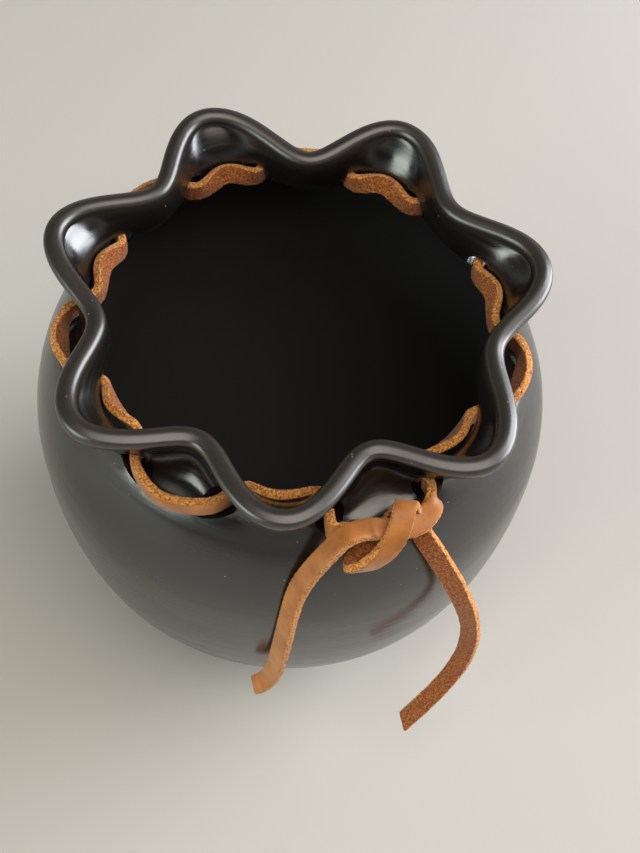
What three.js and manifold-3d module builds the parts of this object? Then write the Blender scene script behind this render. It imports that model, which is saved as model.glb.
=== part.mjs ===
// A small black clay pot with a fluted rim, laced with a flat leather thong.
// Millimetres, +Z up. The origin is the middle of the foot. The knot hangs at the front, on -Y.
// Bearings are degrees from the front, anticlockwise seen from above.
import * as THREE from "three";
import { mergeVertices } from "three/addons/utils/BufferGeometryUtils.js";
import Module from "manifold-3d";

const wasm = await Module();
wasm.setup();

// ---- driving dimensions of the pot ----
const HEIGHT = 122; // the lip's mean height over its crests
const BELLY_RADIUS = 66;
const BELLY_HEIGHT = 76;
const SHOULDER_RISE = 56; // half height of the ellipse above the belly
const LOWER_DEPTH = 80; // half height of the fuller curve below the belly
const LOWER_POWER = 2.5;
const FOOT_RADIUS = 27;
const FLOOR_THICKNESS = 6;
const WALL = 4.4;
const CREASE_HEIGHT = 105.8; // where the shoulder ends and the pinched rim starts
const LIP_THICKNESS = 4.8;
const LIP_OVERHANG = 0.7; // how far the lip's bead stands out over the wall below it

// The rim, pinched by hand: valleys and crests in turn, from the knot's valley round.
// Each is its bearing, the radius of the lip's middle, and its height against HEIGHT.
const RIM = [
  [0, 45, -1.6],
  [23, 61, -0.9],
  [52.5, 47.5, -1.8],
  [79, 59.5, 0.2],
  [106, 48, -2.2],
  [132, 60, 0.5],
  [156, 45.5, -3.5],
  [183, 60.5, 0.6],
  [207, 47, -2.6],
  [233, 60, 0.2],
  [260, 47, -2.2],
  [287.5, 61, -0.4],
  [311.5, 45.5, -1.7],
  [336.5, 60, -0.6],
];
const VALLEY_RADIUS = 45;
const CREST_RADIUS = 61;
// How the neck's curve leaves the crease and arrives under the lip, outwards and up.
const VALLEY_WALL = { leaves: [-7, 1], arrives: [0.2, 4] };
const CREST_WALL = { leaves: [-2.3, 3.9], arrives: [3, 2.6] };

// ---- driving dimensions of the lacing ----
const HOLE_DIAMETER = 7;
const HOLE_HEIGHT = 108.5;
const HOLE_RADIUS = 51.4; // from the pot's axis to the middle of the wall at a hole
const KNOT_HOLES = [12.7, 347.3]; // bearings of the holes on the knot's right and left
const PUNCH_LENGTH = 20;
const LACE_WIDTH = 4.9;
const LACE_THICKNESS = 2.2;
const HALF_PASSAGE = 3; // from the middle of the wall to where the lace is clear of the hole
const SLANT = 3.2; // the lace passes through a hole on a slant, by this much bearing either way
const KNOT_SLANT = 1; // and squarer than that through the knot's two holes
const HOLE_TURN = 50; // so each hole is turned this far from square, in degrees

// The lace outside each valley, from the knot's right round to its left: the bearings of its two
// holes, then the radius, the height and the outward lean of its middle between them.
const OUTSIDE_RUNS = [
  { holes: [39.6, 66], radius: 55.6, height: 109.5, lean: 0.7 },
  { holes: [93.3, 118.5], radius: 53.1, height: 110.7, lean: -0.2 },
  { holes: [144.7, 168.7], radius: 53, height: 110.5, lean: -0.2 },
  { holes: [194.3, 219.7], radius: 55, height: 109.5, lean: 0.7 },
  { holes: [245.3, 270.7], radius: 56.2, height: 109.5, lean: 0.7 },
  { holes: [295.6, 322.6], radius: 57.6, height: 108.8, lean: 0.1 },
];
// And inside every lobe, where it rises a little towards the lobe's middle.
const INSIDE_RUN = { radius: 49.3, height: 110.5, lean: 0.62 };

// ---- mesh fineness ----
const AROUND = 84;
const BODY_STEPS = 10;
const INNER_STEPS = 7;
const STRAP_STEPS_PER_RUN = 12;
const KNOT_STEPS = 28;
const LINK_STEPS = 12;
const TAIL_STEPS = 36;
const NECK_STEPS = 6;
const LIP_STEPS = 4;
const HOLE_SIDES = 14;
const NEAR = 0.02; // spacing of the points a normal is read from: along the wall's s
const NEAR_TURN = 0.5; // and round it, in degrees
const FOOT_EDGE = 0.01; // the wall's s just above the foot
const INNER_EDGE = 0.08; // and just above the floor inside

const CLAY = { color: 0x23211f, roughness: 0.38, metalness: 0 };
const LEATHER = { color: 0xa8602c, roughness: 0.75, metalness: 0 };

const clay = new THREE.MeshStandardMaterial(CLAY);
const leather = new THREE.MeshStandardMaterial(LEATHER);

// ---- small helpers ----
const radians = THREE.MathUtils.degToRad;
const lerp = THREE.MathUtils.lerp;

/** A point from its bearing, radius and height. */
function atBearing(bearing, radius, height) {
  const angle = radians(bearing);
  return new THREE.Vector3(radius * Math.sin(angle), -radius * Math.cos(angle), height);
}

/** The lip's radius and height at a bearing, eased between its valleys and crests. */
function rimAt(bearing) {
  const turn = ((bearing % 360) + 360) % 360;
  const next = RIM.findIndex(([at]) => at > turn);
  const [toBearing, toRadius, toDrop] = next > 0 ? RIM[next] : [360, ...RIM[0].slice(1)];
  const [fromBearing, fromRadius, fromDrop] = RIM[(next > 0 ? next : RIM.length) - 1];
  const along = (turn - fromBearing) / (toBearing - fromBearing);
  const eased = (1 - Math.cos(Math.PI * along)) / 2;
  return {
    radius: lerp(fromRadius, toRadius, eased),
    height: HEIGHT + lerp(fromDrop, toDrop, eased),
  };
}

/** The outside radius of the round body at a height. */
function bodyRadius(height) {
  if (height > BELLY_HEIGHT) {
    return BELLY_RADIUS * Math.sqrt(1 - ((height - BELLY_HEIGHT) / SHOULDER_RISE) ** 2);
  }
  const depth = (BELLY_HEIGHT - height) / LOWER_DEPTH;
  return BELLY_RADIUS * (1 - depth ** LOWER_POWER) ** (1 / LOWER_POWER);
}

/** The neck's outside curve at a bearing: out of the shoulder and up to the lip's underside. */
function neckCurve(bearing) {
  const rim = rimAt(bearing);
  const lobe = (rim.radius - VALLEY_RADIUS) / (CREST_RADIUS - VALLEY_RADIUS);
  const start = new THREE.Vector2(bodyRadius(CREASE_HEIGHT), CREASE_HEIGHT);
  const end = new THREE.Vector2(rim.radius + LIP_THICKNESS / 2 - LIP_OVERHANG, rim.height - LIP_THICKNESS);
  const mix = (way) => {
    const crest = new THREE.Vector2(...CREST_WALL[way]);
    return new THREE.Vector2(...VALLEY_WALL[way]).lerp(crest, lobe);
  };
  const leave = start.clone().add(mix("leaves"));
  const arrive = end.clone().sub(mix("arrives"));
  return new THREE.CubicBezierCurve(start, leave, arrive, end);
}

/** The pot's outer surface: s runs 0 to 1 up the body and 1 to 2 up the neck. */
function outerPoint(bearing, s) {
  if (s <= 1) {
    const height = CREASE_HEIGHT * s;
    return atBearing(bearing, bodyRadius(height), height);
  }
  const onCurve = neckCurve(bearing).getPoint(s - 1);
  return atBearing(bearing, onCurve.x, onCurve.y);
}

/** The outward normal of the outer surface, from points close by. */
function outerNormal(bearing, s) {
  const low = Math.max(s - NEAR, NEAR);
  const high = Math.min(s + NEAR, 2);
  const up = outerPoint(bearing, high).sub(outerPoint(bearing, low));
  const around = outerPoint(bearing + NEAR_TURN, s).sub(outerPoint(bearing - NEAR_TURN, s));
  return around.cross(up).normalize();
}

// ---- the pot ----
/** The rings of the wall from the middle of the foot, up the outside, over the lip and down inside. */
function wallRings() {
  const rings = [() => new THREE.Vector3(0, 0, 0)];
  rings.push((bearing) => atBearing(bearing, FOOT_RADIUS, 0));
  for (let step = 0; step <= BODY_STEPS; step++) {
    const s = step === 0 ? FOOT_EDGE : step / BODY_STEPS;
    rings.push((bearing) => outerPoint(bearing, s));
  }
  for (let step = 1; step <= NECK_STEPS; step++) {
    rings.push((bearing) => outerPoint(bearing, 1 + step / NECK_STEPS));
  }
  for (let step = 0; step <= LIP_STEPS; step++) {
    const turn = (Math.PI * step) / LIP_STEPS;
    rings.push((bearing) => {
      const middle = lipMiddle(bearing);
      const out = outerNormal(bearing, 2).setZ(0).normalize();
      middle.addScaledVector(out, (Math.cos(turn) * LIP_THICKNESS) / 2);
      middle.z += (Math.sin(turn) * LIP_THICKNESS) / 2;
      return middle;
    });
  }
  for (let step = NECK_STEPS - 1; step >= 0; step--) {
    rings.push((bearing) => innerPoint(bearing, 1 + step / NECK_STEPS));
  }
  for (let step = INNER_STEPS - 1; step >= 0; step--) {
    rings.push((bearing) => innerPoint(bearing, lerp(INNER_EDGE, 1, step / INNER_STEPS)));
  }
  rings.push((bearing) => atBearing(bearing, FOOT_RADIUS, FLOOR_THICKNESS));
  rings.push(() => new THREE.Vector3(0, 0, FLOOR_THICKNESS));
  return rings;
}

/** The middle of the lip's round bead. */
function lipMiddle(bearing) {
  const rim = rimAt(bearing);
  return atBearing(bearing, rim.radius, rim.height - LIP_THICKNESS / 2);
}

/** The inner surface: the outer one moved in by the wall's thickness. */
function innerPoint(bearing, s) {
  return outerPoint(bearing, s).addScaledVector(outerNormal(bearing, s), -WALL);
}

/** A lathe-turned skin, pinched into lobes by moving each ring's points. */
function potSkin() {
  const rings = wallRings();
  const profile = rings.map((ring) => {
    const at = ring(0);
    return new THREE.Vector2(Math.hypot(at.x, at.y), at.z);
  });
  const skin = new THREE.LatheGeometry(profile, AROUND);
  const position = skin.attributes.position;
  for (let i = 0; i < position.count; i++) {
    const segment = Math.floor(i / rings.length) % AROUND;
    const at = rings[i % rings.length]((360 * segment) / AROUND);
    position.setXYZ(i, at.x, at.y, at.z);
  }
  return skin;
}

// ---- boolean cuts and joins ----
function toSolid(geometry) {
  const bare = geometry.clone();
  bare.deleteAttribute("normal");
  bare.deleteAttribute("uv");
  const merged = mergeVertices(bare, 1e-4);
  return new wasm.Manifold(
    new wasm.Mesh({
      numProp: 3,
      vertProperties: new Float32Array(merged.attributes.position.array),
      triVerts: new Uint32Array(merged.index.array),
    }),
  );
}

function toGeometry(solid) {
  const mesh = solid.getMesh();
  const geometry = new THREE.BufferGeometry();
  geometry.setAttribute("position", new THREE.BufferAttribute(new Float32Array(mesh.vertProperties), 3));
  geometry.setIndex(new THREE.BufferAttribute(new Uint32Array(mesh.triVerts), 1));
  return geometry;
}

/** The round punch for one hole, turned from its bearing as the lace runs through it. */
function holePunch(bearing, turn) {
  const punch = new THREE.CylinderGeometry(HOLE_DIAMETER / 2, HOLE_DIAMETER / 2, PUNCH_LENGTH, HOLE_SIDES);
  punch.rotateZ(radians(bearing + turn));
  const at = atBearing(bearing, HOLE_RADIUS, HOLE_HEIGHT);
  return punch.translate(at.x, at.y, at.z);
}

function makePot() {
  let pot = toSolid(potSkin());
  for (const bearing of KNOT_HOLES) {
    pot = pot.subtract(toSolid(holePunch(bearing, 0)));
  }
  for (const { holes } of OUTSIDE_RUNS) {
    const [out, back] = holes;
    pot = pot.subtract(toSolid(holePunch(out, HOLE_TURN)));
    pot = pot.subtract(toSolid(holePunch(back, -HOLE_TURN)));
  }
  return toGeometry(pot);
}

// ---- the lace ----
/**
 * A flat strap along a smooth curve through stations.
 * A station is a point and the way the strap's width runs there.
 */
function makeStrap(stations, steps) {
  const points = stations.map(({ point }) => point);
  const curve = new THREE.CatmullRomCurve3(points, false, "centripetal");
  const strap = new THREE.BoxGeometry(1, LACE_WIDTH, LACE_THICKNESS, steps, 1, 1);
  const position = strap.attributes.position;
  for (let i = 0; i < position.count; i++) {
    const t = THREE.MathUtils.clamp(position.getX(i) + 0.5, 0, 1);
    const along = curve.getTangent(t);
    const width = widthAt(stations, t).projectOnPlane(along).normalize();
    const grain = along.clone().cross(width);
    const at = curve.getPoint(t);
    at.addScaledVector(width, position.getY(i));
    at.addScaledVector(grain, position.getZ(i));
    position.setXYZ(i, at.x, at.y, at.z);
  }
  return strap;
}

/** The width's direction at t, mixed from the stations on either side. */
function widthAt(stations, t) {
  const place = t * (stations.length - 1);
  const before = Math.min(Math.floor(place), stations.length - 2);
  return stations[before].width.clone().lerp(stations[before + 1].width, place - before);
}

const station = (point, width) => ({
  point: new THREE.Vector3(...point),
  width: new THREE.Vector3(...width),
});

/** Stations of the threaded run: inside each lobe, outside each valley, on a slant through the holes. */
function threadedStations() {
  const stations = [];
  const add = (bearing, { radius, height, lean }) => {
    const width = atBearing(bearing, lean, 1);
    stations.push({ point: atBearing(bearing, radius, height), width });
  };
  const inWall = (bearing, outwards) => {
    add(bearing, { radius: HOLE_RADIUS + outwards, height: HOLE_HEIGHT, lean: 0 });
  };
  const [knotRight, knotLeft] = KNOT_HOLES;
  let last = knotRight;
  inWall(last, 0);
  inWall(last + KNOT_SLANT, -HALF_PASSAGE);
  for (const { holes, ...run } of OUTSIDE_RUNS) {
    const [out, back] = holes;
    add((last + out) / 2, INSIDE_RUN);
    inWall(out - SLANT, -HALF_PASSAGE);
    inWall(out + SLANT, HALF_PASSAGE);
    add((out + back) / 2, run);
    inWall(back - SLANT, HALF_PASSAGE);
    inWall(back + SLANT, -HALF_PASSAGE);
    last = back;
  }
  add((last + knotLeft) / 2, INSIDE_RUN);
  inWall(knotLeft - KNOT_SLANT, -HALF_PASSAGE);
  inWall(knotLeft, 0);
  return stations;
}

// The half knot. The right hand strand leaves its hole and crosses low to the left, as the left tail.
const LOW_STRAND = [
  station([11.5, -50.8, 108.4], [0, 0, -1]),
  station([11.9, -53, 108.7], [0, 0, -1]),
  station([11.3, -55.4, 109], [-0.17, -0.84, -0.52]),
  station([10.8, -57.3, 108.5], [0.12, -0.92, -0.36]),
  station([9.1, -58.9, 108.1], [0.17, -0.97, -0.14]),
  station([6.7, -60.1, 108], [0.03, -0.96, -0.29]),
  station([4.2, -60.5, 108], [-0.24, -0.84, -0.48]),
  station([1.2, -59.7, 108.1], [-0.39, -0.8, -0.45]),
];
// The left hand strand leaves its hole behind the left tail.
const LINK = [
  station([-11.5, -51, 108.4], [0, 0, 1]),
  station([-12.1, -53.6, 108.2], [0, 0, 1]),
  station([-12.2, -55.6, 107.7], [0.25, 0.5, 0.83]),
  station([-8.9, -56.5, 106.4], [0.34, 0.45, 0.82]),
  station([-5.5, -56.9, 105.8], [0.36, 0.49, 0.8]),
];
// It runs into a loop that curls under, rises over the other strand as a strap, and dives behind it.
const LOOP = [
  station([4.5, -55.7, 108.1], [-0.93, 0.26, 0.28]),
  station([0.1, -57.8, 105.7], [-0.8, 0.46, 0.39]),
  station([-5, -59.8, 103.1], [-0.7, 0.61, 0.39]),
  station([-8.8, -60.8, 100.7], [-0.79, 0.56, 0.25]),
  station([-10, -62, 100.9], [-0.96, 0.26, 0.11]),
  station([-8.2, -63.6, 102.8], [-0.98, 0.08, 0.2]),
  station([-4.7, -64.1, 105.8], [-0.95, 0.13, 0.29]),
  station([-1.1, -62.9, 109.4], [-0.94, 0.3, 0.14]),
  station([1.3, -60.7, 112.7], [-0.91, 0.41, 0.04]),
  station([2.9, -58.3, 113.8], [-0.9, 0.44, 0]),
  station([4.2, -56.9, 112.3], [-0.9, 0.44, 0]),
  station([4.8, -56.8, 110.6], [-0.85, 0.5, 0]),
  station([6, -57.5, 107.2], [-0.85, 0.4, -0.2]),
  station([6.8, -59.2, 104.4], [-0.8, 0.2, -0.5]),
];

// The two free ends, from the knot to where the lace was cut.
const LEFT_TAIL = [
  station([-0.2, -59.6, 108.3], [-0.18, -0.83, -0.52]),
  station([-3, -58.9, 108.8], [-0.07, -0.86, -0.51]),
  station([-6.4, -58.7, 110.2], [-0.01, -1, 0.02]),
  station([-10.5, -59, 110.7], [0.04, -0.99, 0.16]),
  station([-14.7, -59.8, 107.3], [0.1, -0.98, 0.19]),
  station([-18.8, -60.3, 101.2], [0.26, -0.95, 0.18]),
  station([-22, -61.2, 95.3], [0.25, -0.95, 0.2]),
  station([-24, -62.6, 88.6], [0.25, -0.95, 0.15]),
  station([-25.3, -63.6, 81], [0.25, -0.95, 0.1]),
  station([-26.2, -64, 73], [0.25, -0.95, 0.1]),
  station([-26.9, -63.9, 64.5], [0.25, -0.95, 0]),
  station([-27.6, -63.4, 57], [0.25, -0.95, -0.1]),
  station([-28.8, -62.8, 50.5], [0.2, -0.95, -0.15]),
  station([-30.6, -62.2, 46.8], [0.05, -1, -0.2]),
  station([-32.6, -61.8, 46.2], [-0.1, -1, -0.3]),
];
const RIGHT_TAIL = [
  station([7.3, -60.3, 103.1], [-0.8, 0.1, -0.6]),
  station([8, -61.3, 101.7], [-0.8, 0.15, -0.6]),
  station([9.2, -63, 99.3], [-0.8, 0.2, -0.6]),
  station([11.2, -65.4, 95], [-0.8, 0.3, -0.5]),
  station([13.6, -68.2, 89.4], [-0.8, 0.35, -0.5]),
  station([15.9, -70.8, 83], [-0.75, 0.5, -0.4]),
  station([18.3, -72.5, 75], [-0.7, 0.7, -0.25]),
  station([20, -73.5, 66.5], [-0.55, 0.8, -0.15]),
  station([20.7, -74.1, 58], [-0.45, 0.9, -0.05]),
  station([20.1, -74.7, 49.5], [-0.4, 0.9, 0]),
  station([18, -75.3, 41.5], [-0.4, 0.9, 0.1]),
  station([14.6, -76, 34], [-0.4, 0.9, 0.15]),
  station([10.2, -76.7, 26.8], [-0.4, 0.9, 0.15]),
  station([5, -77.3, 19], [-0.4, 0.9, 0.15]),
];

function makeKnot() {
  const low = toSolid(makeStrap(LOW_STRAND, KNOT_STEPS));
  const link = toSolid(makeStrap(LINK, LINK_STEPS));
  const loop = toSolid(makeStrap(LOOP, KNOT_STEPS));
  return toGeometry(low.add(link).add(loop));
}

// ---- the assembly ----
const threaded = threadedStations();
const runs = 2 * OUTSIDE_RUNS.length + 1;
const pieces = [
  ["clay_pot", makePot(), clay],
  ["lace_band", makeStrap(threaded, runs * STRAP_STEPS_PER_RUN), leather],
  ["lace_knot", makeKnot(), leather],
  ["lace_tail_left", makeStrap(LEFT_TAIL, TAIL_STEPS), leather],
  ["lace_tail_right", makeStrap(RIGHT_TAIL, TAIL_STEPS), leather],
];

const pot = new THREE.Group();
for (const [name, geometry, material] of pieces) {
  const mesh = new THREE.Mesh(geometry, material);
  mesh.name = name;
  pot.add(mesh);
}

export default pot;
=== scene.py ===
"""A small black clay pot with a fluted rim, laced with a flat leather thong knotted in front.

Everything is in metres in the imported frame: +Z up, the middle of the foot at the origin, and
the knot at the front, on -Y. Bearings are degrees from the front, anticlockwise from above.
"""

import bisect
import logging
import math
from collections.abc import Callable, Iterable, Sequence
from dataclasses import dataclass, field
from enum import Enum, IntEnum

import bmesh
import bpy
from mathutils import Matrix, Vector, noise


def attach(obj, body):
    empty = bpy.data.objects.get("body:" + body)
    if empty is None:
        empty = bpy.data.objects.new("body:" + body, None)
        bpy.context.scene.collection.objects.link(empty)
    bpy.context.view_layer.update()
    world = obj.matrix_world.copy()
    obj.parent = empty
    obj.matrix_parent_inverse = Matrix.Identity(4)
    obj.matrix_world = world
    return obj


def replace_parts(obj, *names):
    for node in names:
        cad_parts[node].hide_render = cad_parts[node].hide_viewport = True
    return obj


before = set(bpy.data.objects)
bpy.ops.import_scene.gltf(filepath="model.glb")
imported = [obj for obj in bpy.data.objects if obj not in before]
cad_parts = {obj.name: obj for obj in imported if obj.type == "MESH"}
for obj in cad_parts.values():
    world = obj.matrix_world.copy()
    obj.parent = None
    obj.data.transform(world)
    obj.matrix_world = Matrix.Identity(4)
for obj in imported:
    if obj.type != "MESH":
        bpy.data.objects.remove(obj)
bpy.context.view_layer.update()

MM = 0.001
BODY = "root"
log = logging.getLogger("clay_pot")

Ring = Callable[[float], Vector]
Ramp = Sequence[tuple[float, tuple[float, float, float, float]]]


# ---- colours and nodes ----
def linear(code: str) -> tuple[float, float, float, float]:
    """Turn an sRGB hex colour to linear.

    Args:
        code: The colour, such as "#a8602c".

    Returns:
        Red, green, blue and alpha, linear.
    """
    shares = [int(code[i:i + 2], 16) / 255 for i in (1, 3, 5)]
    red, green, blue = (s / 12.92 if s <= 0.04045 else ((s + 0.055) / 1.055) ** 2.4 for s in shares)
    return red, green, blue, 1.0


def add_node(tree: bpy.types.NodeTree, kind: str, inputs: dict | None = None,
             ramp: Ramp = (), **settings: object) -> bpy.types.Node:
    """Add a node with its settings and links.

    Args:
        tree: The node tree that it goes in.
        kind: Its type, such as "ShaderNodeBump".
        inputs: Socket name or number to a value, or to the socket that feeds it.
        ramp: A colour ramp's stops, as position and colour.
        **settings: Properties of the node itself.

    Returns:
        The new node.
    """
    node = tree.nodes.new(kind)
    for name, value in settings.items():
        setattr(node, name, value)
    for key, value in (inputs or {}).items():
        if isinstance(value, bpy.types.NodeSocket):
            tree.links.new(value, node.inputs[key])
        else:
            node.inputs[key].default_value = value
    for index, (position, colour) in enumerate(ramp):
        stops = node.color_ramp.elements
        stop = stops[index] if index < 2 else stops.new(position)
        stop.position = position
        stop.color = colour
    return node


def grey(value: float) -> tuple[float, float, float, float]:
    """Return a plain grey of that linear value."""
    return value, value, value, 1.0


class MixSocket(IntEnum):
    """The colour sockets of a Mix node, whose names repeat for each data type."""

    SHARE = 0
    FIRST = 6
    SECOND = 7
    RESULT = 2


def per_metre(size_mm: float) -> float:
    """Return a texture's scale for features of that size in millimetres."""
    return 1 / (size_mm * MM)


# ---- finishes ----
@dataclass(frozen=True)
class BurnishedClay:
    """Barro negro: earthenware rubbed with a stone and fired without air, black all through."""

    body: str = "#0f0e0e"
    warm: str = "#1b1714"
    lip: str = "#2b2722"
    # The inside's near black is painted shade: the same clay as outside, drawn darker because the inside lies
    # in shade.
    inside: str = "#030303"
    dust: str = "#8d8a84"
    ior: float = 1.8
    sheen_roughness: float = 0.2
    lip_roughness: float = 0.36
    inside_roughness: float = 1.0
    cloud_mm: float = 22.0
    stroke_mm: float = 1.3  # height of one rubbing stroke
    stroke_length_mm: float = 30.0
    grit_mm: float = 0.5  # the clay's grit, drawn coarser than it is so that it shows
    dust_mm: float = 4.2  # distance from one dust speck to the next

    def material(self) -> bpy.types.Material:
        """Build the burnished clay, glossy outside and dull inside, where painted shade darkens the colour to
        near black.

        Returns:
            The material.
        """
        made = bpy.data.materials.new("burnished_black_clay")
        made.use_nodes = True
        tree = made.node_tree
        tree.nodes.clear()
        place = add_node(tree, "ShaderNodeTexCoord").outputs["Object"]
        along = add_node(tree, "ShaderNodeAttribute", attribute_name="along").outputs["Fac"]
        share = add_node(
            tree, "ShaderNodeMath", {0: along, 1: 1 / WallPart.LAST}, operation="MULTIPLY").outputs[0]
        lip = add_node(tree, "ShaderNodeValToRGB", {"Fac": share}, ramp=[
            (0.395, grey(0)), (0.425, grey(1)), (0.575, grey(1)), (0.615, grey(0))]).outputs["Color"]
        # Over the lower inner neck and the inside: real dullness, and painted shade that turns the colour
        # near black.
        inside = add_node(tree, "ShaderNodeValToRGB", {"Fac": share}, ramp=[
            (0.74, grey(0)), (0.88, grey(1))]).outputs["Color"]
        # Rubbing strokes run round the pot, so their pattern is long sideways and fine upwards.
        strokes = add_node(tree, "ShaderNodeMapping", {"Vector": place, "Scale": (
            per_metre(self.stroke_length_mm), per_metre(self.stroke_length_mm), per_metre(self.stroke_mm))})
        stroke = add_node(tree, "ShaderNodeTexNoise", {
            "Vector": strokes.outputs["Vector"], "Scale": 1.0, "Detail": 3.0}).outputs["Fac"]
        cloud = add_node(tree, "ShaderNodeTexNoise", {
            "Vector": place, "Scale": per_metre(self.cloud_mm), "Detail": 4.0}).outputs["Fac"]
        grit = add_node(tree, "ShaderNodeTexNoise", {
            "Vector": place, "Scale": per_metre(self.grit_mm), "Detail": 2.0,
            "Roughness": 0.7}).outputs["Fac"]
        speck = add_node(tree, "ShaderNodeTexVoronoi", {"Vector": place, "Scale": per_metre(self.dust_mm)})
        dust = add_node(tree, "ShaderNodeValToRGB", {"Fac": speck.outputs["Distance"]}, ramp=[
            (0.025, grey(0.8)), (0.055, grey(0))]).outputs["Color"]
        warmth = add_node(tree, "ShaderNodeValToRGB", {"Fac": cloud}, ramp=[
            (0.35, grey(0)), (0.7, grey(1))]).outputs["Color"]
        colour = linear(self.body)
        for share, over in (
                (warmth, self.warm), (lip, self.lip), (dust, self.dust), (inside, self.inside)):
            colour = add_node(tree, "ShaderNodeMix", {
                MixSocket.SHARE: share, MixSocket.FIRST: colour, MixSocket.SECOND: linear(over)},
                data_type="RGBA").outputs[MixSocket.RESULT]
        worn = add_node(tree, "ShaderNodeMapRange", {
            "Value": stroke, "From Min": 0.3, "From Max": 0.7,
            "To Min": self.sheen_roughness - 0.05, "To Max": self.sheen_roughness + 0.09}).outputs[0]
        rough = worn
        for share, over in ((lip, self.lip_roughness), (inside, self.inside_roughness)):
            rough = add_node(tree, "ShaderNodeMix", {
                MixSocket.SHARE: share, MixSocket.FIRST: rough, MixSocket.SECOND: grey(over)},
                data_type="RGBA").outputs[MixSocket.RESULT]
        rubbed = add_node(tree, "ShaderNodeBump", {"Height": stroke, "Strength": 0.5, "Distance": 0.05 * MM})
        gritty = add_node(tree, "ShaderNodeBump", {
            "Height": grit, "Strength": 0.7, "Distance": 0.025 * MM, "Normal": rubbed.outputs["Normal"]})
        shader = add_node(tree, "ShaderNodeBsdfPrincipled", {
            "Base Color": colour, "Roughness": rough, "IOR": self.ior, "Normal": gritty.outputs["Normal"]})
        add_node(tree, "ShaderNodeOutputMaterial", {"Surface": shader.outputs["BSDF"]})
        return made


@dataclass(frozen=True)
class TannedLace:
    """Vegetable tanned cowhide cut into lace: smooth grain, nappy flesh and pale furry cut edges."""

    grain: str = "#bd7a38"
    grain_dark: str = "#96561f"
    edge: str = "#c07c36"
    edge_deep: str = "#7e4415"
    edge_tip: str = "#e0a860"
    flesh: str = "#96501c"
    flesh_deep: str = "#5e2c0c"
    flesh_tip: str = "#b8783a"
    ior: float = 1.45
    fibre_mm: float = 0.5
    pore_mm: float = 0.9
    stain_mm: float = 6.0
    sheen: float = 0.15
    fur_roughness: float = 0.92
    grain_roughness: float = 0.5
    fibre_lift: float = 4.0  # how much higher the fibres stand than the grain's pores

    def material(self) -> bpy.types.Material:
        """Build the leather, which shows its grain, flesh or cut edge by where it is on the strap.

        Returns:
            The material.
        """
        made = bpy.data.materials.new("tanned_leather_lace")
        made.use_nodes = True
        tree = made.node_tree
        tree.nodes.clear()
        place = add_node(tree, "ShaderNodeTexCoord").outputs["Object"]
        side = add_node(tree, "ShaderNodeAttribute", attribute_name="side").outputs["Fac"]
        fibre = add_node(tree, "ShaderNodeTexNoise", {
            "Vector": place, "Scale": per_metre(self.fibre_mm), "Detail": 3.0,
            "Roughness": 0.65}).outputs["Fac"]
        pore = add_node(tree, "ShaderNodeTexNoise", {
            "Vector": place, "Scale": per_metre(self.pore_mm), "Detail": 2.0}).outputs["Fac"]
        stain = add_node(tree, "ShaderNodeTexNoise", {
            "Vector": place, "Scale": per_metre(self.stain_mm), "Detail": 3.0}).outputs["Fac"]
        # The furry fibres reach a little over each face, so the borders are ragged.
        ragged = add_node(tree, "ShaderNodeMapRange", {
            "Value": fibre, "From Min": 0.3, "From Max": 0.7, "To Min": -0.22, "To Max": 0.22}).outputs[0]
        shown = add_node(tree, "ShaderNodeMath", {0: side, 1: ragged}, operation="ADD").outputs[0]
        is_grain = add_node(tree, "ShaderNodeMapRange", {
            "Value": shown, "From Min": 0.45, "From Max": 0.7}).outputs[0]
        is_flesh = add_node(tree, "ShaderNodeMapRange", {
            "Value": shown, "From Min": -0.4, "From Max": -0.8}).outputs[0]
        stained = add_node(tree, "ShaderNodeMapRange", {
            "Value": stain, "From Min": 0.3, "From Max": 0.7}).outputs[0]
        smooth = add_node(tree, "ShaderNodeMix", {
            MixSocket.SHARE: stained, MixSocket.FIRST: linear(self.grain),
            MixSocket.SECOND: linear(self.grain_dark)}, data_type="RGBA").outputs[MixSocket.RESULT]
        furry = add_node(tree, "ShaderNodeValToRGB", {"Fac": fibre}, ramp=[
            (0.36, linear(self.edge_deep)), (0.5, linear(self.edge)), (0.66, linear(self.edge_tip))])
        nappy = add_node(tree, "ShaderNodeValToRGB", {"Fac": fibre}, ramp=[
            (0.36, linear(self.flesh_deep)), (0.52, linear(self.flesh)), (0.68, linear(self.flesh_tip))])
        colour = furry.outputs["Color"]
        for share, over in ((is_grain, smooth), (is_flesh, nappy.outputs["Color"])):
            colour = add_node(tree, "ShaderNodeMix", {
                MixSocket.SHARE: share, MixSocket.FIRST: colour, MixSocket.SECOND: over},
                data_type="RGBA").outputs[MixSocket.RESULT]
        fibrous = add_node(
            tree, "ShaderNodeMath", {0: fibre, 1: self.fibre_lift}, operation="MULTIPLY").outputs[0]
        rough, height = (
            add_node(tree, "ShaderNodeMix", {
                MixSocket.SHARE: is_grain, MixSocket.FIRST: furred, MixSocket.SECOND: plain},
                data_type="RGBA").outputs[MixSocket.RESULT]
            for furred, plain in (
                (grey(self.fur_roughness), grey(self.grain_roughness)), (fibrous, pore)))
        bump = add_node(tree, "ShaderNodeBump", {"Height": height, "Strength": 0.9, "Distance": 0.08 * MM})
        shader = add_node(tree, "ShaderNodeBsdfPrincipled", {
            "Base Color": colour, "Roughness": rough, "IOR": self.ior, "Sheen Weight": self.sheen,
            "Normal": bump.outputs["Normal"]})
        add_node(tree, "ShaderNodeOutputMaterial", {"Surface": shader.outputs["BSDF"]})
        return made


@dataclass(frozen=True)
class PaleCloth:
    """Plain off-white cotton for the table."""

    thread: str = "#bab7b1"
    roughness: float = 0.9

    def material(self) -> bpy.types.Material:
        """Build the table's plain cloth."""
        made = bpy.data.materials.new("pale_cotton")
        made.use_nodes = True
        shader = made.node_tree.nodes["Principled BSDF"]
        shader.inputs["Base Color"].default_value = linear(self.thread)
        shader.inputs["Roughness"].default_value = self.roughness
        return made


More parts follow.
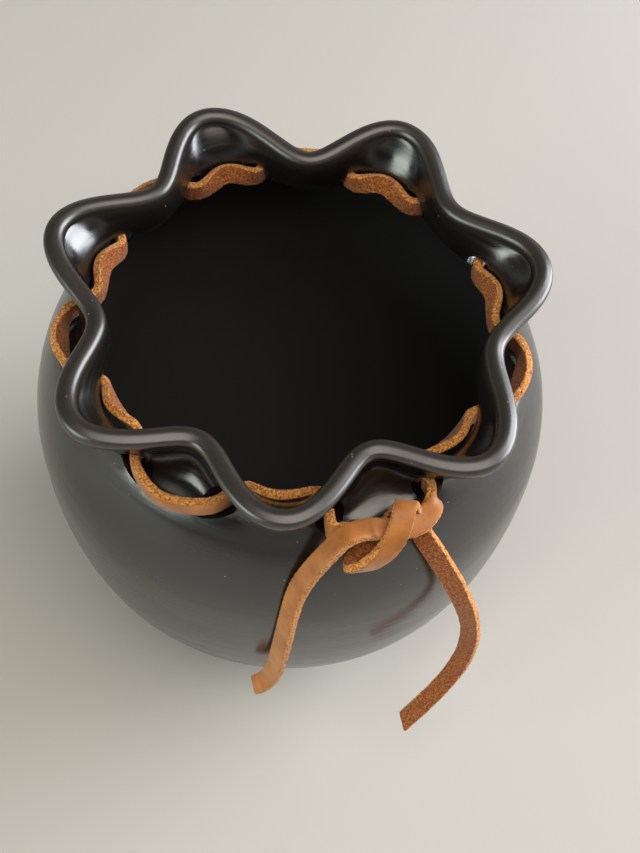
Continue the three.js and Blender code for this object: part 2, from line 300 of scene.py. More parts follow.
# ---- modelling by hand ----
def start_alone() -> None:
    """Deselect everything, so that the next operator acts on its own piece only."""
    if bpy.context.object and bpy.context.object.mode != "OBJECT":
        bpy.ops.object.mode_set(mode="OBJECT")
    bpy.ops.object.select_all(action="DESELECT")


def apply_modifier(piece: bpy.types.Object, kind: str, **settings: object) -> None:
    """Add one modifier to a piece and apply it.

    Args:
        piece: The piece it works on.
        kind: The modifier's type, such as "SUBSURF".
        **settings: Its properties.
    """
    start_alone()
    bpy.context.view_layer.objects.active = piece
    piece.select_set(True)
    modifier = piece.modifiers.new(kind.lower(), kind)
    for name, value in settings.items():
        setattr(modifier, name, value)
    bpy.ops.object.modifier_apply(modifier=modifier.name)


def smooth_skin(piece: bpy.types.Object, levels: int) -> None:
    """Subdivide a piece and apply it, the same in the viewport and the render."""
    apply_modifier(piece, "SUBSURF", levels=levels, render_levels=levels)


def soften_shading(piece: bpy.types.Object, angle: float) -> None:
    """Shade a piece smooth, keeping edges sharper than an angle in degrees."""
    start_alone()
    bpy.context.view_layer.objects.active = piece
    piece.select_set(True)
    bpy.ops.object.shade_smooth_by_angle(angle=math.radians(angle))


def lay_selected(mesh: bpy.types.Mesh, layer_name: str, place: Callable[[float], Vector],
                 marks: dict[str, float]) -> None:
    """Move the selected points of the mesh in edit mode, each by its own number on the ring.

    Args:
        mesh: The mesh in edit mode.
        layer_name: The point layer that holds each point's number on the ring.
        place: From that number to the point's new place.
        marks: Other point layers to fill, by name.
    """
    bm = bmesh.from_edit_mesh(mesh)
    own = bm.verts.layers.float[layer_name]
    filled = [(bm.verts.layers.float[name], value) for name, value in marks.items()]
    for vert in bm.verts:
        if vert.select:
            vert.co = place(vert[own])
            for layer, value in filled:
                vert[layer] = value
    bmesh.update_edit_mesh(mesh)


# ---- the pot ----
class WallPart(float, Enum):
    """Where each stretch of the wall starts, as the along value goes from the foot over the lip."""

    BODY = 0.0
    NECK = 1.0
    LIP = 2.0
    INNER_NECK = 3.0
    INNER_BODY = 4.0
    LAST = 5.0


@dataclass
class FlutedPot:
    """The fired pot: a round body whose rim is pinched into seven lobes, with holes for the lace."""

    finish: BurnishedClay
    height: float = 0.122
    belly_radius: float = 0.066
    belly_height: float = 0.076
    shoulder_rise: float = 0.056
    lower_depth: float = 0.080
    lower_power: float = 2.5
    foot_radius: float = 0.027
    floor_thickness: float = 0.006
    wall: float = 0.0044
    crease_height: float = 0.1058
    lip_thickness: float = 0.0048
    lip_overhang: float = 0.0007
    valley_radius: float = 0.045
    crest_radius: float = 0.061
    # How the neck's curve leaves the crease and arrives under the lip, outwards and up.
    valley_leaves: tuple[float, float] = (-0.007, 0.001)
    valley_arrives: tuple[float, float] = (0.0002, 0.004)
    crest_leaves: tuple[float, float] = (-0.0023, 0.0039)
    crest_arrives: tuple[float, float] = (0.003, 0.0026)
    hole_radius: float = 0.0035
    hole_turn: float = 50.0  # how far a hole is turned from square, since the lace slants through it
    hole_height: float = 0.1085
    hole_reach: float = 0.0514  # from the pot's axis to the middle of the wall at a hole
    punch_length: float = 0.02
    punch_sides: int = 40
    hole_bearings: tuple[float, ...] = (
        12.7, 39.6, 66, 93.3, 118.5, 144.7, 168.7, 194.3, 219.7, 245.3, 270.7, 295.6, 322.6, 347.3)
    groove_depth: float = 0.00022
    groove_from_middle: float = 0.0010
    groove_width: float = 0.00038
    lip_flatness: float = 0.8  # 1 is a round top, and less is flatter
    unevenness: float = 0.00028
    swell_mm: float = 24.0
    dent_mm: float = 9.0
    dent_share: float = 0.4
    shading_angle: float = 42.0
    near: float = 0.02  # spacing of the points a normal is read from: along the wall
    near_turn: float = 0.5  # and round it, in degrees
    foot_edge: float = 0.008  # the along value just above the foot
    inner_edge: float = 0.06  # and just above the floor inside
    rim: tuple[tuple[float, float, float], ...] = (
        (0, 0.045, -0.0016), (23, 0.061, -0.0009), (52.5, 0.0475, -0.0018), (79, 0.0595, 0.0002),
        (106, 0.048, -0.0022), (132, 0.060, 0.0005), (156, 0.0455, -0.0035), (183, 0.0605, 0.0006),
        (207, 0.047, -0.0026), (233, 0.060, 0.0002), (260, 0.047, -0.0022), (287.5, 0.061, -0.0004),
        (311.5, 0.0455, -0.0017), (336.5, 0.060, -0.0006))
    around: int = 196
    body_rings: int = 22
    neck_rings: int = 9
    lip_rings: int = 12
    inner_rings: int = 16

    @staticmethod
    def at_bearing(bearing: float, radius: float, height: float) -> Vector:
        """Return a point from its bearing, radius and height."""
        angle = math.radians(bearing)
        return Vector((radius * math.sin(angle), -radius * math.cos(angle), height))

    def rim_at(self, bearing: float) -> tuple[float, float]:
        """Find the lip, eased between its valleys and crests.

        Args:
            bearing: Degrees from the front.

        Returns:
            The radius and the height of the lip there.
        """
        turn = bearing % 360
        after = bisect.bisect_right([at for at, _, _ in self.rim], turn)
        start, end = self.rim[after - 1], self.rim[after % len(self.rim)]
        end_bearing = end[0] if after < len(self.rim) else end[0] + 360
        eased = (1 - math.cos(math.pi * (turn - start[0]) / (end_bearing - start[0]))) / 2
        radius = start[1] + (end[1] - start[1]) * eased
        return radius, self.height + start[2] + (end[2] - start[2]) * eased

    def body_radius(self, height: float) -> float:
        """Return the outside radius of the round body at a height."""
        if height > self.belly_height:
            return self.belly_radius * math.sqrt(1 - ((height - self.belly_height) / self.shoulder_rise) ** 2)
        depth = (self.belly_height - height) / self.lower_depth
        return self.belly_radius * (1 - depth ** self.lower_power) ** (1 / self.lower_power)

    def neck_at(self, bearing: float, share: float) -> tuple[float, float]:
        """Follow the neck's outside curve from the crease up to the lip's underside.

        Args:
            bearing: Degrees from the front.
            share: 0 at the crease and 1 under the lip.

        Returns:
            The radius and height there.
        """
        radius, height = self.rim_at(bearing)
        lobe = (radius - self.valley_radius) / (self.crest_radius - self.valley_radius)
        leaves = Vector(self.valley_leaves).lerp(Vector(self.crest_leaves), lobe)
        arrives = Vector(self.valley_arrives).lerp(Vector(self.crest_arrives), lobe)
        start = Vector((self.body_radius(self.crease_height), self.crease_height))
        end = Vector((radius + self.lip_thickness / 2 - self.lip_overhang, height - self.lip_thickness))
        rest = 1 - share
        at = (start * rest ** 3 + (start + leaves) * 3 * rest ** 2 * share
              + (end - arrives) * 3 * rest * share ** 2 + end * share ** 3)
        return at.x, at.y

    def outer_point(self, bearing: float, along: float) -> Vector:
        """Return a point of the outer skin, from 0 to 1 up the body and 1 to 2 up the neck."""
        if along <= WallPart.NECK:
            height = self.crease_height * along
            return self.at_bearing(bearing, self.body_radius(height), height)
        return self.at_bearing(bearing, *self.neck_at(bearing, along - WallPart.NECK))

    def outer_normal(self, bearing: float, along: float) -> Vector:
        """Return the outward normal of the outer skin, from points close by."""
        low, high = max(along - self.near, self.near), min(along + self.near, WallPart.LIP)
        up = self.outer_point(bearing, high) - self.outer_point(bearing, low)
        left, right = bearing - self.near_turn, bearing + self.near_turn
        around = self.outer_point(right, along) - self.outer_point(left, along)
        return around.cross(up).normalized()

    def inner_point(self, bearing: float, along: float) -> Vector:
        """Return the inner skin's point behind a point of the outer skin."""
        return self.outer_point(bearing, along) - self.outer_normal(bearing, along) * self.wall

    def lip_point(self, bearing: float, turn: float) -> Vector:
        """Follow the lip's bead from outside over the top to inside.

        Args:
            bearing: Degrees from the front.
            turn: Degrees, 0 outside, 90 on top and 180 inside.

        Returns:
            The point on the bead.
        """
        radius, height = self.rim_at(bearing)
        out = self.outer_normal(bearing, WallPart.LIP.value)
        out.z = 0
        half = self.lip_thickness / 2
        angle = math.radians(turn)
        across = math.cos(angle) * half
        # The top is a little flatter than round, with a shallow groove outside its middle.
        rise = abs(math.sin(angle)) ** self.lip_flatness * half
        rise -= self.groove_depth * math.exp(-((across - self.groove_from_middle) / self.groove_width) ** 2)
        middle = self.at_bearing(bearing, radius, height - half)
        return middle + out.normalized() * across + Vector((0, 0, rise))

    def rings(self) -> Iterable[tuple[float, Ring]]:
        """List the wall's rings from the foot over the lip to the floor inside.

        Yields:
            Each ring's along value, and its points by bearing.
        """
        yield 0.0, lambda bearing: self.at_bearing(bearing, self.foot_radius, 0)
        for step in range(self.body_rings + 1):
            along = max(step / self.body_rings, self.foot_edge)
            yield along, lambda bearing, along=along: self.outer_point(bearing, along)
        for step in range(1, self.neck_rings + 1):
            along = WallPart.NECK + step / self.neck_rings
            yield along, lambda bearing, along=along: self.outer_point(bearing, along)
        for step in range(self.lip_rings + 1):
            share = step / self.lip_rings
            yield WallPart.LIP + share, lambda bearing, share=share: self.lip_point(bearing, 180 * share)
        for step in range(self.neck_rings - 1, -1, -1):
            share = step / self.neck_rings
            yield (WallPart.INNER_BODY - share,
                   lambda bearing, share=share: self.inner_point(bearing, WallPart.NECK + share))
        for step in range(self.inner_rings - 1, -1, -1):
            share = self.inner_edge + (1 - self.inner_edge) * step / self.inner_rings
            yield (WallPart.LAST - share,
                   lambda bearing, share=share: self.inner_point(bearing, share))
        yield (WallPart.LAST.value,
               lambda bearing: self.at_bearing(bearing, self.foot_radius, self.floor_thickness))

    def raise_wall(self) -> bpy.types.Object:
        """Pull the wall up from the foot ring by ring, over the lip and down inside.

        Returns:
            The pot before its holes are punched.
        """
        start_alone()
        bpy.ops.mesh.primitive_circle_add(
            vertices=self.around, radius=self.foot_radius / 2, fill_type="TRIFAN")
        pot = bpy.context.object
        pot.name = pot.data.name = "burnished_pot"
        bpy.ops.object.mode_set(mode="EDIT")
        bm = bmesh.from_edit_mesh(pot.data)
        bearings = bm.verts.layers.float.new("bearing")
        bm.verts.layers.float.new("along")
        for vert in bm.verts:
            vert[bearings] = math.degrees(math.atan2(vert.co.x, -vert.co.y))
        bmesh.update_edit_mesh(pot.data)
        bpy.ops.mesh.region_to_loop()
        for along, ring in self.rings():
            bpy.ops.mesh.extrude_edges_move()
            lay_selected(pot.data, "bearing", ring, {"along": along})
        bpy.ops.mesh.extrude_edges_move()
        bpy.ops.mesh.merge(type="CENTER")
        bpy.ops.mesh.select_all(action="SELECT")
        bpy.ops.mesh.normals_make_consistent(inside=False)
        bpy.ops.object.mode_set(mode="OBJECT")
        smooth_skin(pot, 1)
        return pot

    def press_by_hand(self, pot: bpy.types.Object) -> None:
        """Give the turned shape the slow swells of a hand-rubbed pot, more so towards the rim."""
        for vert in pot.data.vertices:
            lift = min(vert.co.z / self.height, 1)
            push = noise.noise(vert.co * per_metre(self.swell_mm))
            push += self.dent_share * noise.noise(vert.co * per_metre(self.dent_mm))
            sideways = Vector((vert.co.x, vert.co.y, 0)).normalized()
            vert.co += sideways * push * self.unevenness * lift

    def punch_holes(self, pot: bpy.types.Object) -> None:
        """Punch a round hole on each side of every valley.

        Args:
            pot: The pot, which is cut.
        """
        punches = []
        last = len(self.hole_bearings) - 1
        for index, bearing in enumerate(self.hole_bearings):
            start_alone()
            # The knot's own holes, first and last, are square to the wall.
            turn = 0 if index in (0, last) else self.hole_turn if index % 2 else -self.hole_turn
            bpy.ops.mesh.primitive_cylinder_add(
                vertices=self.punch_sides, radius=self.hole_radius, depth=self.punch_length,
                location=self.at_bearing(bearing, self.hole_reach, self.hole_height),
                rotation=(math.radians(90), 0, math.radians(bearing + turn)))
            punches.append(bpy.context.object)
        for punch in punches:
            punch.select_set(True)
        bpy.context.view_layer.objects.active = punches[0]
        bpy.ops.object.join()
        punch = bpy.context.object
        apply_modifier(pot, "BOOLEAN", object=punch, operation="DIFFERENCE", solver="EXACT")
        bpy.data.objects.remove(punch)

    def build(self) -> bpy.types.Object:
        """Make the pot and dress it in its finish.

        Returns:
            The finished pot.
        """
        pot = self.raise_wall()
        self.press_by_hand(pot)
        self.punch_holes(pot)
        soften_shading(pot, self.shading_angle)
        pot.data.materials.clear()
        pot.data.materials.append(self.finish.material())
        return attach(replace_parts(pot, "clay_pot"), BODY)


# ---- the lace ----
@dataclass(frozen=True)
class Station:
    """A point of the lace's middle, and the way its width runs there."""

    point: Vector
    width: Vector


def stations(*rows: tuple[tuple[float, float, float], tuple[float, float, float]]) -> list[Station]:
    """Read stations from rows of a point and a width direction."""
    return [Station(Vector(point), Vector(width)) for point, width in rows]


@dataclass
class Route:
    """A smooth curve through stations, walked at even steps."""

    stops: list[Station]
    fineness: int = 24
    near: float = 0.02  # how far on and back the route's direction is read

    def point_at(self, place: float) -> Vector:
        """Follow the centripetal Catmull-Rom curve through the stations.

        Args:
            place: 0 at the first station, 1 at the second and so on.

        Returns:
            The point there.
        """
        points = [stop.point for stop in self.stops]
        before = min(int(place), len(points) - 2)
        start, end = points[before], points[before + 1]
        first = points[before - 1] if before > 0 else start * 2 - end
        last = points[before + 2] if before + 2 < len(points) else end * 2 - start
        gaps = [max((b - a).length ** 0.5, 1e-6) for a, b in ((first, start), (start, end), (end, last))]
        leave = ((start - first) / gaps[0] - (end - first) / (gaps[0] + gaps[1])
                 + (end - start) / gaps[1]) * gaps[1]
        arrive = ((end - start) / gaps[1] - (last - start) / (gaps[1] + gaps[2])
                  + (last - end) / gaps[2]) * gaps[1]
        t = place - before
        return (start + leave * t + (end * 3 - start * 3 - leave * 2 - arrive) * t ** 2
                + (start * 2 - end * 2 + leave + arrive) * t ** 3)

    def width_at(self, place: float) -> Vector:
        """Return the width's direction, eased from one station to the next."""
        before = min(int(place), len(self.stops) - 2)
        t = place - before
        return self.stops[before].width.lerp(self.stops[before + 1].width, t * t * (3 - 2 * t))

    def walk(self, step: float) -> list[Matrix]:
        """Walk the route at even steps.

        Args:
            step: About how far apart, in metres. The last step ends on the last station.

        Returns:
            At each step, the place whose X is the width, Y the grain side and Z the way on.
        """
        count = self.fineness * (len(self.stops) - 1)
        places = [i / self.fineness for i in range(count + 1)]
        points = [self.point_at(place) for place in places]
        gone = [0.0]
        for a, b in zip(points, points[1:]):
            gone.append(gone[-1] + (b - a).length)
        steps = max(round(gone[-1] / step), 2)
        walked = []
        for i in range(steps + 1):
            target = gone[-1] * i / steps
            after = min(max(bisect.bisect_left(gone, target), 1), count)
            share = (target - gone[after - 1]) / (gone[after] - gone[after - 1])
            place = places[after - 1] + share / self.fineness
            ahead = self.point_at(min(place + self.near, count / self.fineness))
            behind = self.point_at(max(place - self.near, 0))
            way = (ahead - behind).normalized()
            width = self.width_at(place)
            width = (width - way * width.dot(way)).normalized()
            turned = Matrix((width, way.cross(width), way)).transposed()
            walked.append(Matrix.Translation(self.point_at(place)) @ turned.to_4x4())
        return walked

    def line(self, step: float) -> list[Vector]:
        """Return the route's points at even steps."""
        return [place.translation.copy() for place in self.walk(step)]

    def length(self) -> float:
        """Return the route's length."""
        line = self.line(0.0005)
        return sum((b - a).length for a, b in zip(line, line[1:]))


class Side(float, Enum):
    """What shows on each side of the strap, as its side value."""

    FLESH = -1.0
    EDGE = 0.0
    GRAIN = 1.0


@dataclass
class Strap:
    """How the flat lace is cut: its section, its furry edges and how finely it is modelled."""

    width: float = 0.0049
    thickness: float = 0.0022
    ring_step: float = 0.0012
    smoothing: int = 2
    edge_fur: float = 0.0002
    flesh_fur: float = 0.00014
    grain_wrinkle: float = 0.000018
    fur_mm: float = 0.45
    wander: float = 0.05  # share by which the cut width wanders
    wander_mm: float = 9.0

    def section(self) -> list[tuple[float, float, Side]]:
        """List the section's points as shares of half the width and half the thickness.

        Returns:
            Each point's place across, its place outwards, and what shows there.
        """
        face = (0.9, 0.32, -0.32, -0.9)
        grain = [(across, 1.0, Side.GRAIN) for across in face]
        flesh = [(-across, -1.0, Side.FLESH) for across in face]
        left = [(-across, rise, Side.EDGE) for across, rise in ((0.985, 0.74), (1.0, 0.0), (0.985, -0.74))]
        right = [(across, -rise, Side.EDGE) for across, rise in ((0.985, 0.74), (1.0, 0.0), (0.985, -0.74))]
        return [*grain, *left, *flesh, *right]

    def draw(self, name: str, route: Route) -> bpy.types.Object:
        """Draw the strap out along its route.

        Args:
            name: The new piece's name.
            route: What it follows.

        Returns:
            The strap, furry and closed at both ends.
        """
        cut = self.section()
        start_alone()
        bpy.ops.mesh.primitive_circle_add(vertices=len(cut), radius=self.width / 2, fill_type="NGON")
        strap = bpy.context.object
        strap.name = strap.data.name = name
        bpy.ops.object.mode_set(mode="EDIT")
        bm = bmesh.from_edit_mesh(strap.data)
        order = bm.verts.layers.float.new("order")
        side = bm.verts.layers.float.new("side")
        bm.verts.ensure_lookup_table()
        for index, (_, _, shown) in enumerate(cut):
            bm.verts[index][order] = index
            bm.verts[index][side] = shown.value
        bmesh.update_edit_mesh(strap.data)
        for count, place in enumerate(route.walk(self.ring_step)):
            if count:
                bpy.ops.mesh.extrude_region_move()
            wander = self.wander * noise.noise(place.translation * per_metre(self.wander_mm))
            wide = self.width / 2 * (1 + wander)
            thick = self.thickness / 2

            def on_ring(index: float, place: Matrix = place, wide: float = wide) -> Vector:
                across, rise, _ = cut[round(index)]
                return place @ Vector((across * wide, rise * thick, 0))

            lay_selected(strap.data, "order", on_ring, {})
        bpy.ops.mesh.select_all(action="SELECT")
        bpy.ops.mesh.normals_make_consistent(inside=False)
        bpy.ops.object.mode_set(mode="OBJECT")
        smooth_skin(strap, self.smoothing)
        self.raise_fur(strap)
        soften_shading(strap, 60)
        return strap

    def raise_fur(self, strap: bpy.types.Object) -> None:
        """Roughen the cut edges and the flesh side, and wrinkle the grain a little."""
        shown = strap.data.attributes["side"].data
        normals = [vert.normal.copy() for vert in strap.data.vertices]
        for vert, side, normal in zip(strap.data.vertices, shown, normals):
            edge = 1 - min(abs(side.value), 1)
            flesh = max(-side.value, 0)
            grain = max(side.value, 0)
            rough = edge * self.edge_fur + flesh * self.flesh_fur + grain * self.grain_wrinkle
            fur = noise.noise(vert.co * per_metre(self.fur_mm))
            fur += 0.5 * noise.noise(vert.co * per_metre(self.fur_mm / 2))
            vert.co += normal * rough * fur


@dataclass(frozen=True)
class Run:
    """Where the lace passes a valley or a lobe."""

    radius: float
    height: float
    lean: float  # how far its top leans outwards, against its width


@dataclass
class LacedBand:
    """The lace where it runs inside each lobe and outside each valley, through the holes."""

    strap: Strap
    pot: FlutedPot
    half_passage: float = 0.003  # from the middle of the wall to where the lace is clear of the hole
    slant: float = 3.2  # the lace slants through a hole by this much bearing either way
    knot_slant: float = 1.0  # and through the knot's two holes
    inside: Run = Run(0.0493, 0.1105, 0.62)
    outside: tuple[Run, ...] = (
        Run(0.0556, 0.1095, 0.7), Run(0.0531, 0.1107, -0.2), Run(0.053, 0.1105, -0.2),
        Run(0.055, 0.1095, 0.7), Run(0.0562, 0.1095, 0.7), Run(0.0576, 0.1088, 0.1))

    def route(self) -> Route:
        """Follow the holes round the pot.

        Returns:
            The route, from inside the knot's right hand hole to inside its left hand one.
        """
        holes = self.pot.hole_bearings
        stops: list[Station] = []

        def add(bearing: float, run: Run) -> None:
            stops.append(Station(self.pot.at_bearing(bearing, run.radius, run.height),
                                 self.pot.at_bearing(bearing, run.lean, 1)))

        def in_wall(bearing: float, outwards: float) -> None:
            add(bearing, Run(self.pot.hole_reach + outwards, self.pot.hole_height, 0))

        last = holes[0]
        in_wall(last, 0)
        in_wall(last + self.knot_slant, -self.half_passage)
        for out, back, run in zip(holes[1::2], holes[2::2], self.outside):
            add((last + out) / 2, self.inside)
            in_wall(out - self.slant, -self.half_passage)
            in_wall(out + self.slant, self.half_passage)
            add((out + back) / 2, run)
            in_wall(back - self.slant, self.half_passage)
            in_wall(back + self.slant, -self.half_passage)
            last = back
        add((last + holes[-1]) / 2, self.inside)
        in_wall(holes[-1] - self.knot_slant, -self.half_passage)
        in_wall(holes[-1], 0)
        return Route(stops, fineness=10)

    def build(self, leather: bpy.types.Material) -> bpy.types.Object:
        """Draw the band and dress it."""
        return dress_lace(self.strap.draw("threaded_lace", self.route()), leather, "lace_band")


def dress_lace(piece: bpy.types.Object, leather: bpy.types.Material, *nodes: str) -> bpy.types.Object:
    """Give a stretch of lace its leather, and say what it stands for.

    Args:
        piece: The stretch of lace.
        leather: Its material.
        *nodes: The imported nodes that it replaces.

    Returns:
        The piece.
    """
    piece.data.materials.clear()
    piece.data.materials.append(leather)
    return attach(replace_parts(piece, *nodes), BODY)


@dataclass
class HalfKnot:
    """The half knot between the two front holes, of two strands that cross."""

    strap: Strap
    low: list[Station] = field(default_factory=lambda: stations(
        ((0.0115, -0.0508, 0.1084), (0, 0, -1)),
        ((0.0119, -0.053, 0.1087), (0, 0, -1)),
        ((0.0113, -0.0554, 0.109), (-0.17, -0.84, -0.52)),
        ((0.0108, -0.0573, 0.1085), (0.12, -0.92, -0.36)),
        ((0.0091, -0.0589, 0.1081), (0.17, -0.97, -0.14)),
        ((0.0067, -0.0601, 0.108), (0.03, -0.96, -0.29)),
        ((0.0042, -0.0605, 0.108), (-0.24, -0.84, -0.48)),
        ((0.0012, -0.0597, 0.1081), (-0.39, -0.8, -0.45))))
    link: list[Station] = field(default_factory=lambda: stations(
        ((-0.0115, -0.051, 0.1084), (0, 0, 1)),
        ((-0.0121, -0.0536, 0.1082), (0, 0, 1)),
        ((-0.0122, -0.0556, 0.1077), (0.25, 0.5, 0.83)),
        ((-0.0089, -0.0565, 0.1064), (0.34, 0.45, 0.82)),
        ((-0.0055, -0.0569, 0.1058), (0.36, 0.49, 0.8))))
    loop: list[Station] = field(default_factory=lambda: stations(
        ((0.0045, -0.0557, 0.1081), (-0.93, 0.26, 0.28)),
        ((0.0001, -0.0578, 0.1057), (-0.8, 0.46, 0.39)),
        ((-0.005, -0.0598, 0.1031), (-0.7, 0.61, 0.39)),
        ((-0.0088, -0.0608, 0.1007), (-0.79, 0.56, 0.25)),
        ((-0.01, -0.062, 0.1009), (-0.96, 0.26, 0.11)),
        ((-0.0082, -0.0636, 0.1028), (-0.98, 0.08, 0.2)),
        ((-0.0047, -0.0641, 0.1058), (-0.95, 0.13, 0.29)),
        ((-0.0011, -0.0629, 0.1094), (-0.94, 0.3, 0.14)),
        ((0.0013, -0.0607, 0.1127), (-0.91, 0.41, 0.04)),
        ((0.0029, -0.0583, 0.1138), (-0.9, 0.44, 0)),
        ((0.0042, -0.0569, 0.1123), (-0.9, 0.44, 0)),
        ((0.0048, -0.0568, 0.1106), (-0.85, 0.5, 0)),
        ((0.006, -0.0575, 0.1072), (-0.85, 0.4, -0.2)),
        ((0.0068, -0.0592, 0.1044), (-0.8, 0.2, -0.5)),
        ((0.0073, -0.0603, 0.1031), (-0.8, 0.1, -0.6))))

    def build(self, leather: bpy.types.Material) -> bpy.types.Object:
        """Tie the strands and join them into one piece.

        Args:
            leather: The lace's material.

        Returns:
            The knot.
        """
        low = self.strap.draw("knot_low_strand", Route(self.low))
        link = self.strap.draw("knot_link", Route(self.link))
        loop = self.strap.draw("half_knot", Route(self.loop))
        start_alone()
        for strand in (low, link, loop):
            strand.select_set(True)
        bpy.context.view_layer.objects.active = loop
        bpy.ops.object.join()
        return dress_lace(bpy.context.object, leather, "lace_knot")


@dataclass
class FreeEnd:
    """One hanging end of the lace, as long as it was cut."""

    strap: Strap
    name: str
    node: str
    stops: list[Station]
    slant: float = 0.0  # how far the cut end slants, in metres along the lace
    path_step: float = 0.002

    def build(self, leather: bpy.types.Material) -> bpy.types.Object:
        """Args:
            leather: The lace's material.

        Returns:
            The free end.
        """
        route = Route(self.stops)
        piece = dress_lace(self.strap.draw(self.name, route), leather, self.node)
        self.cut_end(piece, route)
        route.length()
        route.line(self.path_step)
        log.info("%s is %.1f mm long", self.name, route.length() / MM)
        return piece

    def cut_end(self, piece: bpy.types.Object, route: Route) -> None:
        """Cut the last few millimetres on a slant by sliding the points there back along the lace."""
        end = route.walk(self.strap.ring_step)[-1]
        to_end = end.inverted()
        for vert in piece.data.vertices:
            local = to_end @ vert.co
            near = 1 + local.z / (self.strap.width * 1.5)
            if near > 0 and local.xy.length < self.strap.width:
                slide = self.slant * min(near, 1) * (0.5 + local.x / self.strap.width)
                vert.co -= end.to_3x3() @ Vector((0, 0, slide))


LEFT_STOPS = stations(
    ((-0.0002, -0.0596, 0.1083), (-0.18, -0.83, -0.52)),
    ((-0.003, -0.0589, 0.1088), (-0.07, -0.86, -0.51)),
    ((-0.0064, -0.0587, 0.1102), (-0.01, -1, 0.02)),
    ((-0.0105, -0.059, 0.1107), (0.04, -0.99, 0.16)),
    ((-0.0147, -0.0598, 0.1073), (0.1, -0.98, 0.19)),
    ((-0.0188, -0.0603, 0.1012), (0.26, -0.95, 0.18)),
    ((-0.022, -0.0612, 0.0953), (0.25, -0.95, 0.2)),
    ((-0.024, -0.0626, 0.0886), (0.25, -0.95, 0.15)),
    ((-0.0253, -0.0636, 0.081), (0.25, -0.95, 0.1)),
    ((-0.0262, -0.064, 0.073), (0.25, -0.95, 0.1)),
    ((-0.0269, -0.0639, 0.0645), (0.25, -0.95, 0)),
    ((-0.0276, -0.0634, 0.057), (0.25, -0.95, -0.1)),
    ((-0.0288, -0.0628, 0.0505), (0.2, -0.95, -0.15)),
    ((-0.0306, -0.0622, 0.0468), (0.05, -1, -0.2)),
    ((-0.0326, -0.0618, 0.0462), (-0.1, -1, -0.3)))
RIGHT_STOPS = stations(
    ((0.0073, -0.0603, 0.1031), (-0.8, 0.1, -0.6)),
    ((0.008, -0.0613, 0.1017), (-0.8, 0.15, -0.6)),
    ((0.0092, -0.063, 0.0993), (-0.8, 0.2, -0.6)),
    ((0.0112, -0.0654, 0.095), (-0.8, 0.3, -0.5)),
    ((0.0136, -0.0682, 0.0894), (-0.8, 0.35, -0.5)),
    ((0.0159, -0.0708, 0.083), (-0.75, 0.5, -0.4)),
    ((0.0183, -0.0725, 0.075), (-0.7, 0.7, -0.25)),
    ((0.02, -0.0735, 0.0665), (-0.55, 0.8, -0.15)),
    ((0.0207, -0.0741, 0.058), (-0.45, 0.9, -0.05)),
    ((0.0201, -0.0747, 0.0495), (-0.4, 0.9, 0)),
    ((0.018, -0.0753, 0.0415), (-0.4, 0.9, 0.1)),
    ((0.0146, -0.076, 0.034), (-0.4, 0.9, 0.15)),
    ((0.0102, -0.0767, 0.0268), (-0.4, 0.9, 0.15)),
    ((0.005, -0.0773, 0.019), (-0.4, 0.9, 0.15)))


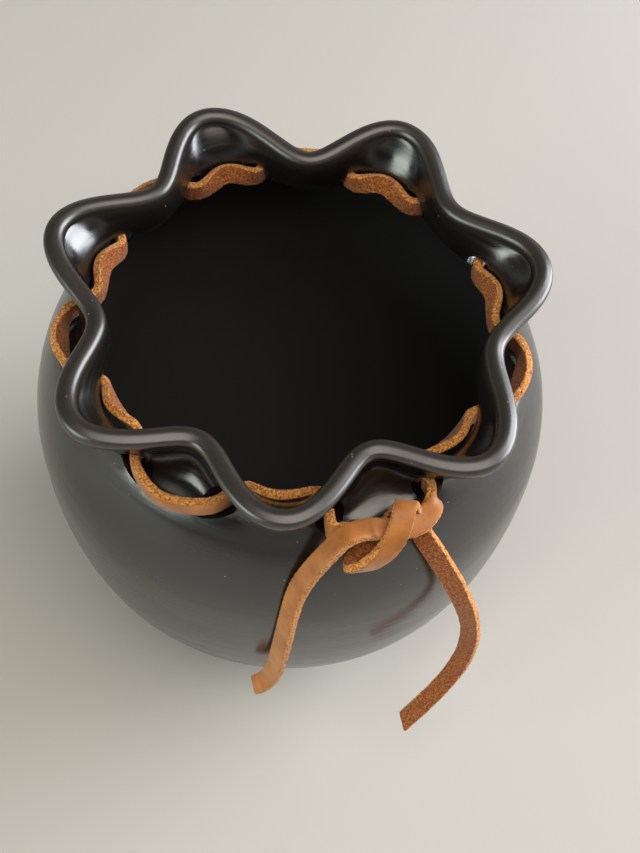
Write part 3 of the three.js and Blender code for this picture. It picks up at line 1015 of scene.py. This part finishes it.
# ---- the studio ----
@dataclass
class Studio:
    """A pale table under soft window light, and the camera that looks down on the pot."""

    cloth: PaleCloth
    camera_place: Vector = field(default_factory=lambda: Vector((-0.06675, -0.15574, 0.33037)))
    azimuth: float = -26.03
    elevation: float = 57.79
    roll: float = 5.81
    lens: float = 48.53
    sensor: float = 36.0
    floor_side: float = 8.0
    horizon: str = "#c9c8c6"
    zenith: str = "#34363a"
    world_strength: float = 0.8

    def set_camera(self) -> None:
        """Place the camera and make it the scene's own."""
        made = bpy.data.cameras.new("camera")
        made.lens = self.lens
        made.sensor_width = self.sensor
        made.clip_start = 0.01
        camera = bpy.data.objects.new("camera", made)
        bpy.context.collection.objects.link(camera)
        turned = Matrix.Rotation(math.radians(self.azimuth), 3, "Z")
        tilted = Matrix.Rotation(math.radians(90 - self.elevation), 3, "X")
        rolled = Matrix.Rotation(math.radians(self.roll), 3, "Z")
        camera.matrix_world = Matrix.Translation(self.camera_place) @ (turned @ tilted @ rolled).to_4x4()
        bpy.context.scene.camera = camera

    def add_light(self, name: str, place: tuple[float, float, float], aim: tuple[float, float, float],
                  side: float, power: float, colour: str) -> None:
        """Hang one soft square light.

        Args:
            name: The light's name.
            place: Where its middle is.
            aim: The point that it faces.
            side: How wide it is.
            power: Its power in watts.
            colour: Its colour, as sRGB hex.
        """
        made = bpy.data.lights.new(name, "AREA")
        made.shape = "SQUARE"
        made.size = side
        made.energy = power
        made.color = linear(colour)[:3]
        light = bpy.data.objects.new(name, made)
        light.location = place
        light.rotation_euler = (Vector(aim) - Vector(place)).to_track_quat("-Z", "Y").to_euler()
        bpy.context.collection.objects.link(light)

    def set_lights(self) -> None:
        """Hang the window light at the right, a fill overhead and a weak one from the left."""
        self.add_light("window", (1.1, -0.1, 0.42), (0, 0, 0.1), 0.85, 27.0, "#f1f4fb")
        self.add_light("ceiling", (0.1, -0.5, 1.4), (0, 0, 0), 1.3, 17.0, "#fff6ea")
        self.add_light("doorway", (-1.0, -0.15, 0.45), (0, 0, 0.08), 0.6, 8.0, "#dfe8de")

    def set_world(self) -> None:
        """Light the room from its pale walls, darker overhead."""
        world = bpy.data.worlds.new("room")
        bpy.context.scene.world = world
        world.use_nodes = True
        tree = world.node_tree
        tree.nodes.clear()
        way = add_node(tree, "ShaderNodeTexCoord").outputs["Generated"]
        height = add_node(tree, "ShaderNodeSeparateXYZ", {"Vector": way}).outputs["Z"]
        sky = add_node(tree, "ShaderNodeValToRGB", {"Fac": height}, ramp=[
            (0.0, linear(self.horizon)), (0.35, linear(self.zenith))])
        back = add_node(tree, "ShaderNodeBackground", {
            "Color": sky.outputs["Color"], "Strength": self.world_strength})
        add_node(tree, "ShaderNodeOutputWorld", {"Surface": back.outputs["Background"]})

    def lay_floor(self) -> None:
        """Lay the pale table that the pot stands on."""
        start_alone()
        bpy.ops.mesh.primitive_plane_add(size=self.floor_side)
        floor = bpy.context.object
        floor.name = "table_cloth"
        floor.data.materials.append(self.cloth.material())


def main() -> None:
    """Build the studio and the pot with its lace, and report each piece."""
    logging.basicConfig(level=logging.INFO, format="%(name)s: %(message)s")
    bpy.context.scene.view_settings.view_transform = "Standard"
    studio = Studio(PaleCloth())
    studio.set_camera()
    strap = Strap()
    leather = TannedLace().material()
    ends = (FreeEnd(strap, "left_free_end", "lace_tail_left", LEFT_STOPS),
            FreeEnd(strap, "right_free_end", "lace_tail_right", RIGHT_STOPS, slant=0.0035))
    pieces = [end.build(leather) for end in ends]
    pot = FlutedPot(BurnishedClay())
    pieces.append(pot.build())
    pieces.append(LacedBand(strap, pot).build(leather))
    pieces.append(HalfKnot(strap).build(leather))
    studio.lay_floor()
    studio.set_lights()
    studio.set_world()
    for piece in pieces:
        log.info("%s: %d faces", piece.name, len(piece.data.polygons))


if __name__ == "__main__":
    main()
